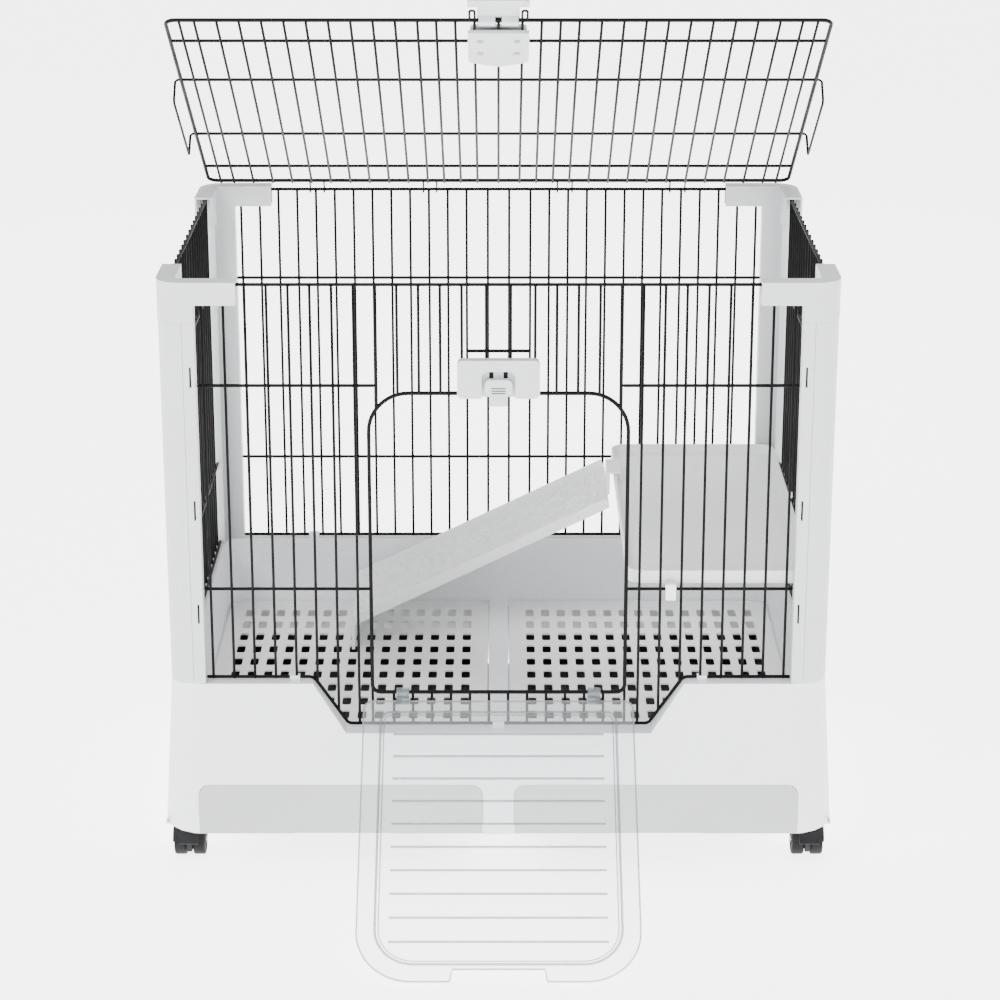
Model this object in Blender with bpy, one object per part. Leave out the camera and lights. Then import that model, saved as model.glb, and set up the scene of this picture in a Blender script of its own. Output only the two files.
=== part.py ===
"""A wire rabbit cage on casters: base tub with trays, wire panels, open lid, ramp door, shelf and ramp.

Metres, +Z up, the front of the cage towards -Y. The lid and the door are drawn shut, about their own
hinge axes, and are then turned to where they rest.
"""

import math

import bmesh
import bpy
from mathutils import Matrix, Vector

# Overall cage
HALF_WIDTH = 0.405  # to the outside of the caps
HALF_DEPTH = 0.2845
CAP_TOP = 0.760
GAP = 0.0004  # between neighbouring pieces

# Front door, drawn shut, hinged on the door frame's lower wire
DOOR_HINGE_Y = -0.270
DOOR_HINGE_Z = 0.2355
DOOR_OPEN = math.radians(124.0)
DOOR_HALF = 0.167
DOOR_LENGTH = 0.396
DOOR_OFFSET = 0.0085  # from the hinge axis to the middle of the panel
DOOR_THICK = 0.003
DOOR_NOTCH = 0.016

# The open door reaches forward, so the cage sits back from the middle of the whole
CAGE_Y = 0.14844

# Wire panels
THIN = 0.0024
CROSS = 0.0036
FRAME = 0.0044
PANEL_Y = 0.270
PANEL_X = 0.391
TOP_Z = 0.752
UPPER_Z = 0.6285
LOWER_Z = 0.3710
BOTTOM_Z = 0.2560
FIRST_WIRE = 0.0435
WIRE_PITCH = 0.0256
DOOR_FRAME_HALF = 0.1555
DOOR_FRAME_TOP = 0.619
DOOR_FRAME_RADIUS = 0.048
DIP_HALF_TOP = 0.228
DIP_HALF_LOW = 0.188
DIP_Z = 0.188
LOW_WIRE_HALF = 0.1855
SHORT_WIRES = [s * (0.01175 + 0.0235 * k) for s in (-1, 1) for k in range(6)]

# Lid, drawn shut, hinged on the rear panel's top wire
LID_HINGE_Z = TOP_Z
LID_LIFT = 0.0085
LID_OPEN = math.radians(32.9)
LID_HALF = 0.393
LID_LENGTH = 0.530
LID_ROWS = (0.064, 0.178, 0.354, 0.471)
HINGE_CURLS = (-0.256, -0.237, -0.102, -0.084, 0.080, 0.100, 0.233, 0.2535)

# Posts and caps
POST_OUT = 0.0405
POST_BOTTOM = 0.2560
POST_TOP = 0.7285
CAP_ARM = 0.096
CAP_LOW = 0.730
CAP_CORNER_LOW = 0.709

# Base tub
TUB_TOP = 0.252
TUB_LOW = 0.056
TUB_FLARE = 0.013
FLOOR_Z = 0.1575
FLOOR_THICK = 0.003
MOUTH_IN = 0.019
MOUTH_OUT = 0.372
MOUTH_TOP = 0.121
WALL = 0.003

# Shelf and ramp
SHELF_IN = 0.157
SHELF_OUT = 0.385
SHELF_HALF_Y = 0.262
SHELF_RIM = 0.392
SHELF_FLOOR = 0.378
RAMP_Y = 0.150
RAMP_HALF = 0.088
RAMP_TOP = (0.151, 0.366)
RAMP_FOOT = (-0.196, 0.196)

# Casters
CASTER_X = 0.391
CASTER_Y = 0.245
WHEEL_R = 0.0200
WHEEL_SIDES = 24


def clear_scene():
    for item in list(bpy.data.objects):
        bpy.data.objects.remove(item, do_unlink=True)


def material(name, colour, roughness, alpha=1.0):
    """A Principled material of one plain colour."""
    made = bpy.data.materials.new(name)
    made.use_nodes = True
    shader = made.node_tree.nodes["Principled BSDF"]
    shader.inputs["Base Color"].default_value = (*colour, 1.0)
    shader.inputs["Roughness"].default_value = roughness
    shader.inputs["Alpha"].default_value = alpha
    made.diffuse_color = (*colour, alpha)
    return made


def mesh_from(points, faces):
    mesh = bpy.data.meshes.new("shape")
    mesh.from_pydata([tuple(p) for p in points], [], faces)
    work = bmesh.new()
    work.from_mesh(mesh)
    bmesh.ops.recalc_face_normals(work, faces=work.faces)
    work.to_mesh(mesh)
    work.free()
    return mesh


def box(x0, x1, y0, y1, z0, z1):
    points = [(x, y, z) for x in (x0, x1) for y in (y0, y1) for z in (z0, z1)]
    faces = [(0, 1, 3, 2), (4, 6, 7, 5), (0, 4, 5, 1), (2, 3, 7, 6), (0, 2, 6, 4), (1, 5, 7, 3)]
    return mesh_from(points, faces)


def prism(outline, place, low, high):
    """An outline of (u, v) points pushed from low to high; place(u, v, w) gives each point."""
    count = len(outline)
    points = [place(u, v, w) for w in (low, high) for u, v in outline]
    faces = [tuple(range(count)), tuple(range(2 * count - 1, count - 1, -1))]
    for i in range(count):
        j = (i + 1) % count
        faces.append((i, j, j + count, i + count))
    return mesh_from(points, faces)


def loft(rings, closed=False):
    """Faces between successive rings of equal count; the ends are capped unless the rings close."""
    count = len(rings[0])
    points = [p for ring in rings for p in ring]
    faces = []
    for k in range(len(rings) if closed else len(rings) - 1):
        a, b = k * count, (k + 1) % len(rings) * count
        for i in range(count):
            j = (i + 1) % count
            faces.append((a + i, a + j, b + j, b + i))
    if not closed:
        faces.append(tuple(range(count)))
        faces.append(tuple(len(points) - 1 - i for i in range(count)))
    return mesh_from(points, faces)


def rounded(x0, x1, y0, y1, radius, steps=4):
    """Corner-rounded rectangle outline, anticlockwise from the high-x, low-y corner."""
    outline = []
    corners = ((x1, y0, 270), (x1, y1, 0), (x0, y1, 90), (x0, y0, 180))
    for x, y, start in corners:
        cx = x - math.copysign(radius, x - (x0 + x1) / 2)
        cy = y - math.copysign(radius, y - (y0 + y1) / 2)
        for k in range(steps + 1):
            angle = math.radians(start + 90 * k / steps)
            outline.append((cx + radius * math.cos(angle), cy + radius * math.sin(angle)))
    return outline


def circle(radius, sides, turn=0.5):
    """Regular polygon whose flats touch the circle of this radius."""
    reach = radius / math.cos(math.pi / sides)
    angles = [2 * math.pi * (k + turn) / sides - math.pi / 2 for k in range(sides)]
    return [(reach * math.cos(a), reach * math.sin(a)) for a in angles]


def sweep(path, width, closed=True):
    """A square bar along a path that lies in one plane; the section stands square to the path."""
    path = [Vector(p) for p in path]
    first, rest = path[1] - path[0], (p - path[0] for p in path[2:])
    normal = next(n.normalized() for n in (first.cross(v) for v in rest) if n.length > 1e-9)
    half = width / 2
    rings = []
    for i, point in enumerate(path):
        before = path[i - 1] if closed or i else point
        after = path[(i + 1) % len(path)] if closed or i < len(path) - 1 else point
        into = (point - before).normalized() if point != before else (after - point).normalized()
        out = (after - point).normalized() if after != point else into
        side = normal.cross((into + out).normalized())
        side *= half / max(0.3, side.dot(normal.cross(out)))
        rings.append([point + side * a + normal * half * b for a, b in ((1, 1), (-1, 1), (-1, -1), (1, -1))])
    return loft(rings, closed)


def moved(mesh, matrix):
    mesh.transform(matrix)
    if matrix.determinant() < 0:
        mesh.flip_normals()
    return mesh


def add(name, mesh, look, joins=(), cuts=(), smooth=False):
    """One named object from a mesh, with other meshes joined to it and cut from it."""
    scene = bpy.context.scene.collection
    item = bpy.data.objects.new(name, mesh)
    scene.objects.link(item)
    for operation, tools in (("UNION", joins), ("DIFFERENCE", cuts)):
        for tool in tools:
            other = bpy.data.objects.new("tool", tool)
            scene.objects.link(other)
            step = item.modifiers.new("Boolean", "BOOLEAN")
            step.operation, step.solver, step.object = operation, "EXACT", other
            bpy.context.view_layer.update()
            result = item.evaluated_get(bpy.context.evaluated_depsgraph_get())
            made = bpy.data.meshes.new_from_object(result)
            item.modifiers.clear()
            item.data = made
            bpy.data.objects.remove(other, do_unlink=True)
    item.data.name = name
    item.data.materials.clear()
    item.data.materials.append(look)
    if smooth:
        item.data.shade_smooth()
    return item


def hinge_empty(name, x, y, z):
    empty = bpy.data.objects.new(name, None)
    empty.empty_display_size = 0.03
    empty.location = (x, y, z)
    bpy.context.scene.collection.objects.link(empty)
    return empty


# ---------------------------------------------------------------- base tub, floors and trays


def tub_face(z):
    """How far the tub's outer face stands out from its top edge at this height."""
    return (TUB_TOP - z) * TUB_FLARE / (TUB_TOP - TUB_LOW)


def base_tub(look):
    """A hat-section shell with a dip in its front rim, two tray mouths, rails and a middle rib."""
    profile = [
        (-TUB_FLARE, TUB_LOW), (0.0, TUB_TOP), (0.022, TUB_TOP), (0.025, 0.157), (0.040, 0.157),
        (0.040, 0.153), (0.022, 0.153), (0.019, 0.249), (WALL, 0.249), (-TUB_FLARE + WALL, TUB_LOW),
    ]
    rings = []
    for inset, z in profile:
        x, y = 0.406 - inset, HALF_DEPTH - inset
        ring = rounded(-x, x, -y, y, max(0.010, 0.045 - inset), 5)
        rings.append([(u, v, z) for u, v in ring])
    dip = [(-0.2265, 0.2505), (-0.1869, 0.189), (0.1869, 0.189), (0.2265, 0.2505),
           (0.2315, 0.2505), (0.189, 0.185), (-0.189, 0.185), (-0.2315, 0.2505)]

    def across_rim(x, z, side):
        outer, inner = -0.2830 - tub_face(z), -0.2640 + (TUB_TOP - z) * 0.0316
        return (x, outer + (inner - outer) * side, z)

    def front_to_back(x, z, side):
        return (x, side * (0.2830 + tub_face(z)), z)

    rib = [(-0.0025, 0.0570), (0.0025, 0.0570), (0.0025, 0.1515), (-0.0025, 0.1515)]
    joins = [
        prism(dip, across_rim, 0.0, 1.0),
        prism(rib, front_to_back, -1.0, 1.0),
        box(-0.013, 0.013, -0.262, 0.262, 0.1505, 0.1615),
        box(-0.024, 0.024, -0.270, 0.270, 0.0565, 0.0595),
    ]
    for sx in (-1, 1):
        edges = sorted((sx * 0.358, sx * 0.4170))
        joins.append(box(*edges, -0.270, 0.270, 0.0567, 0.0593))
        for sy in (-1, 1):
            xs, ys = sorted((sx * 0.3735, sx * 0.412)), sorted((sy * 0.222, sy * 0.2695))
            joins.append(box(*xs, *ys, 0.0562, 0.0660))
    slope = (DIP_HALF_TOP - DIP_HALF_LOW) / (TUB_TOP - DIP_Z)
    top = DIP_HALF_TOP + slope * 0.010
    notch = [(-top, TUB_TOP + 0.010), (-DIP_HALF_LOW, DIP_Z), (DIP_HALF_LOW, DIP_Z), (top, TUB_TOP + 0.010)]
    cuts = [prism(notch, lambda x, z, y: (x, y, z), -0.310, -0.250)]
    for sx in (-1, 1):
        mouth = [(sx * x, z) for x, z in mouth_outline(0.0, 0.040)]
        cuts.append(prism(mouth, lambda x, z, y: (x, y, z), -0.320, -0.272))
        for sy in (-1, 1):
            x, y = sx * CASTER_X, sy * CASTER_Y
            cuts.append(prism(circle(0.0052, 12), lambda u, v, w, x=x, y=y: (x + u, y + v, w), 0.050, 0.075))
    return add("base_tub", loft(rings, closed=True), look, joins, cuts)


def mouth_outline(clear, low):
    """Outline of a tray mouth, or of the tray front that fills it with this clearance."""
    x0, x1, top, radius = MOUTH_IN + clear, MOUTH_OUT - clear, MOUTH_TOP - clear, 0.014
    outline = [(x0, low), (x1, low)]
    for cx, start in ((x1 - radius, 0), (x0 + radius, 90)):
        for k in range(4):
            angle = math.radians(start + 30 * k)
            outline.append((cx + radius * math.cos(angle), top - radius + radius * math.sin(angle)))
    return outline


def tray(name, side, look):
    """An open box with a front plate that follows the tub's slope and has a finger notch."""
    def shell(x0, x1, y1, z0, z1, inset):
        rings = []
        for z in (z0, z1):
            front = -(HALF_DEPTH + tub_face(z)) + 0.0018 + inset
            rings.append([(side * x, y, z) for x, y in ((x0, front), (x1, front), (x1, y1), (x0, y1))])
        return loft(rings)

    def on_slope(x, z, depth):
        return (side * x, -(HALF_DEPTH + tub_face(z)) + depth, z)

    plate = mouth_outline(0.0005, 0.0565)
    middle = (MOUTH_IN + MOUTH_OUT) / 2
    notch = [(middle - 0.0615, 0.050), (middle + 0.0615, 0.050), (middle + 0.053, 0.0705), (middle - 0.053, 0.0705)]
    body = shell(0.0205, 0.3700, 0.262, 0.0599, 0.1060, 0.0)
    hollow = shell(0.0230, 0.3675, 0.2595, 0.0624, 0.1300, 0.0030)
    plate_mesh = prism(plate, on_slope, 0.0003, 0.0030)
    finger = prism(notch, on_slope, -0.010, 0.0016)
    return add(name, body, look, [plate_mesh], [hollow, finger])


def floor_grid(name, side, look):
    """A perforated floor panel, drawn as the plain plate whose holes it carries."""
    outline = rounded(0.0140, 0.3785, -0.2570, 0.2570, 0.0195, 3)
    place = lambda u, v, w: (side * u, v, w)
    return add(name, prism(outline, place, FLOOR_Z, FLOOR_Z + FLOOR_THICK), look)


# ---------------------------------------------------------------- posts and caps


def corner_arc(radius, steps=5, turn=1):
    """Points round a post's outer corner, for the corner at high x and high y."""
    angles = [math.radians(90 * k / steps) for k in range(steps + 1)][::turn]
    return [(0.3745 + radius * math.cos(a), 0.2540 + radius * math.sin(a)) for a in angles]


def post(tag, sx, sy, shell_look, cover_look):
    place = lambda u, v, w: (sx * u, sy * v, w)
    channel = [(0.3595, 0.2640), (0.3845, 0.2640), (0.3845, 0.2390), (0.4040, 0.2390), (0.4040, 0.2525),
               (0.4013, 0.2525)]
    channel += corner_arc(0.0268, 3)
    channel += [(0.3737, 0.2811), (0.3737, 0.2838), (0.3595, 0.2838)]
    slots = []
    for z in (0.343, 0.4755, 0.642):
        xs, ys = sorted((sx * 0.3640, sx * 0.3665)), sorted((sy * 0.2780, sy * 0.2900))
        slots.append(box(*xs, *ys, z - 0.0125, z + 0.0125))
    add("post_channel_" + tag, prism(channel, place, TUB_TOP + GAP, CAP_CORNER_LOW - GAP), shell_look, (), slots)
    cover = [(0.3741, 0.2815)] + corner_arc(0.0275, 5, -1) + [(0.4020, 0.2529), (0.4045, 0.2529)]
    cover += corner_arc(0.0300, 5) + [(0.3741, 0.2840)]
    add("post_cover_" + tag, prism(cover, place, TUB_TOP + GAP, CAP_CORNER_LOW - GAP), cover_look)


def cap(tag, sx, sy, look):
    """A corner block on the post with a channel arm over each panel's top wire."""
    place = lambda u, v, w: (sx * u, sy * v, w)
    high = CAP_TOP - 0.0025
    block = [(0.3595, 0.2616), (0.3820, 0.2616), (0.3820, 0.2385), (0.4050, 0.2385)]
    block += corner_arc(0.0305, 5) + [(0.3595, 0.2845)]
    front = [(0.2616, CAP_LOW), (0.2616, high), (0.2845, high), (0.2845, CAP_LOW), (0.2820, CAP_LOW),
             (0.2820, high - 0.0027), (0.2641, high - 0.0027), (0.2641, CAP_LOW)]
    beside = [(0.3820, CAP_LOW), (0.3820, high), (0.4050, high), (0.4050, CAP_LOW), (0.4025, CAP_LOW),
              (0.4025, high - 0.0027), (0.3845, high - 0.0027), (0.3845, CAP_LOW)]
    arms = [
        prism(front, lambda u, v, w: (sx * w, sy * u, v), HALF_WIDTH - CAP_ARM, 0.3605),
        prism(beside, lambda u, v, w: (sx * u, sy * w, v), HALF_DEPTH - CAP_ARM, 0.2395),
    ]
    add("cap_" + tag, prism(block, place, CAP_CORNER_LOW, high), look, arms)


# ---------------------------------------------------------------- wire panels


def bars(runs, width, thick, place):
    """Separate straight bars in one mesh: each run is (centre, start, end), and thick is the band in w."""
    points, faces = [], []
    for centre, start, end in runs:
        for u in (centre - width / 2, centre + width / 2):
            for v in (start, end):
                for w in (thick[0], thick[1]):
                    points.append(place(u, v, w))
        b = len(points) - 8
        faces += [(b, b + 1, b + 3, b + 2), (b + 4, b + 6, b + 7, b + 5), (b, b + 4, b + 5, b + 1),
                  (b + 2, b + 3, b + 7, b + 6), (b, b + 2, b + 6, b + 4), (b + 1, b + 5, b + 7, b + 3)]
    return mesh_from(points, faces)


def wire_columns(limit):
    """Centres of the panels' thin upright wires out to this half-width."""
    found = [0.0145]
    while FIRST_WIRE + WIRE_PITCH * (len(found) - 1) <= limit:
        found.append(FIRST_WIRE + WIRE_PITCH * (len(found) - 1))
    return [-x for x in reversed(found)] + found


THIN_BAND = (CROSS / 2 - 0.0005, CROSS / 2 - 0.0005 + THIN)
CROSS_BAND = (-CROSS / 2, CROSS / 2)


def plain_panel(name, half, place, columns, look):
    """Four cross wires with thin upright wires on the side that place() turns towards +w."""
    rows = [(z, -half, half) for z in (TOP_Z, UPPER_Z, LOWER_Z, BOTTOM_Z)]
    lying = bars(rows, CROSS, CROSS_BAND, lambda u, v, w: place(v, u, w))
    upright = [(x, BOTTOM_Z - 0.0017, TOP_Z + 0.0017) for x in columns]
    standing = bars(upright, THIN, THIN_BAND, place)
    return add(name, lying, look, [standing])


def arch_top(x):
    """Height of the door frame's middle line at this distance from the middle of the front."""
    inner = DOOR_FRAME_HALF - DOOR_FRAME_RADIUS
    if abs(x) <= inner:
        return DOOR_FRAME_TOP
    return DOOR_FRAME_TOP - DOOR_FRAME_RADIUS + math.sqrt(DOOR_FRAME_RADIUS ** 2 - (abs(x) - inner) ** 2)


def front_panel(look):
    """The front wires, with the arched door frame and a bottom wire that follows the tub's dip."""
    place = lambda u, v, w: (u, -PANEL_Y - w, v)
    half = 0.3591
    rows = [(TOP_Z, -half, half)]
    for z, reach in ((UPPER_Z, 0.1482), (LOWER_Z, DOOR_FRAME_HALF)):
        rows += [(z, -half, -reach), (z, reach, half)]
    lying = bars(rows, CROSS, CROSS_BAND, lambda u, v, w: place(v, u, w))
    columns = wire_columns(0.352)
    upright = []
    for x in columns:
        low = BOTTOM_Z - 0.0017
        if abs(x) < DOOR_FRAME_HALF:
            low = arch_top(x)
        elif abs(x) < DIP_HALF_TOP:
            low = DIP_Z + 0.0050 + max(0.0, (abs(x) - LOW_WIRE_HALF) * 1.523)
        upright.append((x, low, TOP_Z + 0.0017))
    standing = bars(upright, THIN, THIN_BAND, place)
    frame = rounded(-DOOR_FRAME_HALF, DOOR_FRAME_HALF, DOOR_HINGE_Z, DOOR_FRAME_TOP, DOOR_FRAME_RADIUS, 5)
    frame = [(x, z) for x, z in frame if z > DOOR_HINGE_Z + DOOR_FRAME_RADIUS + 0.001]
    frame += [(-DOOR_FRAME_HALF, DOOR_HINGE_Z + 0.008), (-DOOR_FRAME_HALF + 0.008, DOOR_HINGE_Z),
              (DOOR_FRAME_HALF - 0.008, DOOR_HINGE_Z), (DOOR_FRAME_HALF, DOOR_HINGE_Z + 0.008)]
    arch = sweep([place(x, z, 0.0) for x, z in frame], FRAME)
    bend, low = DIP_HALF_TOP - 0.0018, DIP_Z + 0.0060
    low_path = [(-half, BOTTOM_Z), (-bend, BOTTOM_Z), (-LOW_WIRE_HALF, low),
                (LOW_WIRE_HALF, low), (bend, BOTTOM_Z), (half, BOTTOM_Z)]
    low_wire = sweep([place(x, z, 0.0) for x, z in low_path], CROSS, closed=False)
    short = [(x, DIP_Z + 0.0052, DOOR_HINGE_Z + 0.0012) for x in SHORT_WIRES]
    short += [(x, DIP_Z + 0.0052, DOOR_HINGE_Z + 0.0145) for x in (-DOOR_FRAME_HALF, DOOR_FRAME_HALF)]
    inner = bars(short, THIN, (-THIN_BAND[1] - 0.0002, -THIN_BAND[0]), place)
    stub = box(-0.039, 0.039, -PANEL_Y - CROSS_BAND[1], -PANEL_Y - CROSS_BAND[0], 0.6695, 0.6730)
    return add("front_panel", lying, look, [standing, arch, low_wire, inner, stub])


def turned(rings, sides, centre, axis):
    """A closed round solid from (radius, height) rings about a line along the named axis."""
    cx, cy, cz = centre
    place = {
        "x": lambda a, b, h: (cx + h, cy + a, cz + b),
        "y": lambda a, b, h: (cx + a, cy + h, cz + b),
        "z": lambda a, b, h: (cx + a, cy + b, cz + h),
    }[axis]
    return loft([[place(a, b, h) for a, b in circle(r, sides)] for r, h in rings])


# ---------------------------------------------------------------- lid and its latch


def on_lid(u, s, w):
    """A point of the shut lid: s runs forward from the hinge axis and w up from the wires."""
    return (u, -s, LID_LIFT + w)


def lid(look):
    half = LID_HALF
    rows = [(s, -half, half) for s in LID_ROWS]
    lying = bars(rows, CROSS, CROSS_BAND, lambda s, u, w: on_lid(u, s, w))
    spread = [0.0, 0.0284, 0.0510, 0.0735] + [0.0957 + 0.02627 * k for k in range(11)] + [0.3762]
    columns = sorted({side * x for x in spread for side in (-1, 1)})
    upright = [(x, 0.0100, LID_LENGTH - 0.0015) for x in columns]
    standing = bars(upright, THIN, (-THIN_BAND[1], -THIN_BAND[0]), on_lid)
    loop = [on_lid(u, s, 0) for u, s in rounded(-half, half, 0.0105, LID_LENGTH, 0.012, 3)]
    joins = [standing, sweep(loop, FRAME)]
    for side in (-1, 1):
        drop = [(LID_ROWS[2], 0.0018), (LID_ROWS[2], -0.030), (LID_ROWS[1], -0.030), (LID_ROWS[1], 0.0018)]
        joins.append(sweep([on_lid(side * 0.4010, s, w) for s, w in drop], CROSS - 0.0002, closed=False))
        for s in LID_ROWS[1:3]:
            reach = sorted((side * 0.3915, side * 0.4024))
            joins.append(box(*reach, -s - 0.0016, -s + 0.0016, LID_LIFT - 0.0016, LID_LIFT + 0.0016))
        lug = [(side * 0.0278, 0.5290), (side * 0.0278, 0.5560), (side * 0.0345, 0.5560), (side * 0.0345, 0.5290)]
        joins.append(sweep([on_lid(u, s, 0) for u, s in lug], 0.0028, closed=False))
    bores = []
    for x in HINGE_CURLS:
        joins.append(box(x - 0.0016, x + 0.0016, -0.0115, 0.0052, -0.0052, 0.0100))
        bores.append(turned([(0.0031, x - 0.004), (0.0031, x + 0.004)], 8, (0, 0, 0), "x"))
    return add("lid_panel", lying, look, joins, bores)


LID_SCREWS = [(x, s) for x in (-0.022, 0.022) for s in (0.453, 0.488)]


def lid_latch(look, metal):
    """Two plates screwed together over the lid wires, and a flap that turns on the lid's front wire."""
    place = lambda u, v, w: on_lid(u, v, w)
    front = [(-0.0365, 0.511), (-0.0365, 0.430), (-0.0320, 0.4245), (-0.0150, 0.4175), (0.0, 0.4130),
             (0.0150, 0.4175), (0.0320, 0.4245), (0.0365, 0.430), (0.0365, 0.511)]
    holes = [turned([(0.0022, -0.02), (0.0022, 0.03)], 8, (x, -s, LID_LIFT), "z") for x, s in LID_SCREWS]
    again = [hole.copy() for hole in holes]
    pieces = [
        add("lid_latch_plate", prism(front, place, -0.0085, -0.0042), look, (), holes),
        add("lid_latch_back", prism(rounded(-0.034, 0.034, 0.430, 0.508, 0.006, 2), place, 0.0023, 0.0050),
            look, (), again),
    ]
    for k, (x, s) in enumerate(LID_SCREWS):
        rings = [(0.0034, -0.0102), (0.0034, -0.0089), (0.0018, -0.0089), (0.0018, 0.0062)]
        pieces.append(add("lid_latch_screw_%d" % (k + 1), turned(rings, 8, (x, -s, LID_LIFT), "z"), metal))
    outline = [(-0.025, 0.5145), (0.025, 0.5145), (0.025, 0.5600), (0.0365, 0.5600), (0.0365, 0.5720),
               (0.0310, 0.5770), (-0.0310, 0.5770), (-0.0365, 0.5720), (-0.0365, 0.5600), (-0.025, 0.5600)]
    knuckles = [box(*sorted((k * 0.004, k * 0.0235)), -0.5355, -0.5245, LID_LIFT - 0.0052, LID_LIFT + 0.0035)
                for k in (-1, 1)]
    bore = turned([(0.0035, -0.04), (0.0035, 0.04)], 8, (0, -LID_LENGTH, LID_LIFT), "x")
    flap = add("lid_latch_flap", prism(outline, place, 0.0028, 0.0062), look, knuckles, [bore])
    return pieces + [flap]


# ---------------------------------------------------------------- front door and its latch


def on_door(u, s, w):
    """A point of the shut door: s runs up from the hinge axis and w inwards from its middle plane."""
    return (u, -DOOR_OFFSET + w, s)


def door(look):
    def bend(cx, cs, radius, start, steps):
        angles = [math.radians(start + 90 * k / steps) for k in range(steps + 1)]
        return [(cx + radius * math.cos(a), cs + radius * math.sin(a)) for a in angles]

    half, low, far = DOOR_HALF, 0.0075, DOOR_LENGTH
    corner = half - 0.066
    outline = bend(half - 0.012, low + 0.012, 0.012, 270, 2) + bend(corner, far - 0.066, 0.066, 0, 6)
    outline += [(0.0575, far), (0.0540, far - 0.005), (0.0525, far - DOOR_NOTCH)]
    outline += [(-0.0525, far - DOOR_NOTCH), (-0.0540, far - 0.005), (-0.0575, far)]
    outline += bend(-corner, far - 0.066, 0.066, 90, 6) + bend(-half + 0.012, low + 0.012, 0.012, 180, 2)
    ring = bend(0.1325, 0.038, 0.012, 270, 2) + bend(0.0985, 0.3275, 0.046, 0, 5)
    ring += bend(-0.0985, 0.3275, 0.046, 90, 5) + bend(-0.1325, 0.038, 0.012, 180, 2)
    raised = [on_door(u, s, 0.0025) for u, s in ring]
    joins = [sweep(raised, 0.0030)]
    for k in range(10):
        s = 0.058 + 0.0318 * k
        joins.append(box(-0.130, 0.130, -DOOR_OFFSET + 0.0010, -DOOR_OFFSET + 0.0038, s - 0.0014, s + 0.0014))
    bores = []
    for x in (-0.118, 0.118):
        joins.append(box(x - 0.008, x + 0.008, -0.0093, 0.0054, -0.0054, 0.0128))
        bores.append(turned([(0.0036, x - 0.02), (0.0036, x + 0.02)], 8, (0, 0, 0), "x"))
    half_thick = DOOR_THICK / 2
    return add("door_panel", prism(outline, on_door, -half_thick, half_thick), look, joins, bores)


def door_latch(look, metal):
    """A housing in front of the wires, its back plate behind them, and a slider with a tongue."""
    place = lambda u, v, w: (u, w, v)
    screws = (-0.034, 0.034)
    bores = [turned([(0.0022, -0.2810), (0.0022, -0.2600)], 8, (x, 0, 0.6410), "y") for x in screws]
    recess = [(-0.0200, 0.6100), (0.0200, 0.6100), (0.0200, 0.6450), (0.0150, 0.6505), (-0.0150, 0.6505),
              (-0.0200, 0.6450)]
    body = prism(rounded(-0.0490, 0.0490, 0.6175, 0.6640, 0.005, 2), place, -0.2885, -0.2752)
    add("door_latch_housing", body, look, (), [prism(recess, place, -0.2950, -0.2806)] + bores)
    plate = prism(rounded(-0.0440, 0.0440, 0.6210, 0.6610, 0.004, 2), place, -0.2676, -0.2645)
    add("door_latch_back", plate, look, (), [bore.copy() for bore in bores])
    for k, x in enumerate(screws):
        rings = [(0.0018, -0.2795), (0.0018, -0.2641), (0.0036, -0.2641), (0.0036, -0.2625)]
        add("door_latch_screw_%d" % (k + 1), turned(rings, 8, (x, 0, 0.6410), "y"), metal)
    button = prism(rounded(-0.0165, 0.0165, 0.6215, 0.6405, 0.006, 3), place, -0.2900, -0.2812)
    tongue = box(-0.0110, 0.0110, -0.2846, -0.2814, 0.6068, 0.6250)
    return add("door_latch_slider", button, look, [tongue])


# ---------------------------------------------------------------- shelf and ramp


def shelf(look):
    """A shallow tray whose tabs hook over the lower cross wires."""
    place = lambda u, v, w: (u, v, w)
    outer = rounded(SHELF_IN, 0.3838, -SHELF_HALF_Y, SHELF_HALF_Y, 0.020, 4)
    inner = rounded(SHELF_IN + WALL, 0.3808, -SHELF_HALF_Y + WALL, SHELF_HALF_Y - WALL, 0.017, 4)
    joins = []
    for sy in (-1, 1):
        over, lip = sorted((sy * 0.2605, sy * 0.2746)), sorted((sy * 0.2722, sy * 0.2746))
        joins += [box(0.2035, 0.2165, *over, 0.3734, 0.3785), box(0.2035, 0.2165, *lip, 0.3570, 0.3785)]
        ys = (sy * 0.0819 - 0.0060, sy * 0.0819 + 0.0060)
        joins += [box(0.3820, 0.3956, *ys, 0.3734, 0.3785), box(0.3932, 0.3956, *ys, 0.3600, 0.3785)]
    body = prism(outer, place, 0.3755, SHELF_RIM)
    return add("shelf", body, look, joins, [prism(inner, place, SHELF_FLOOR + 0.0010, SHELF_RIM + 0.01)])


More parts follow.
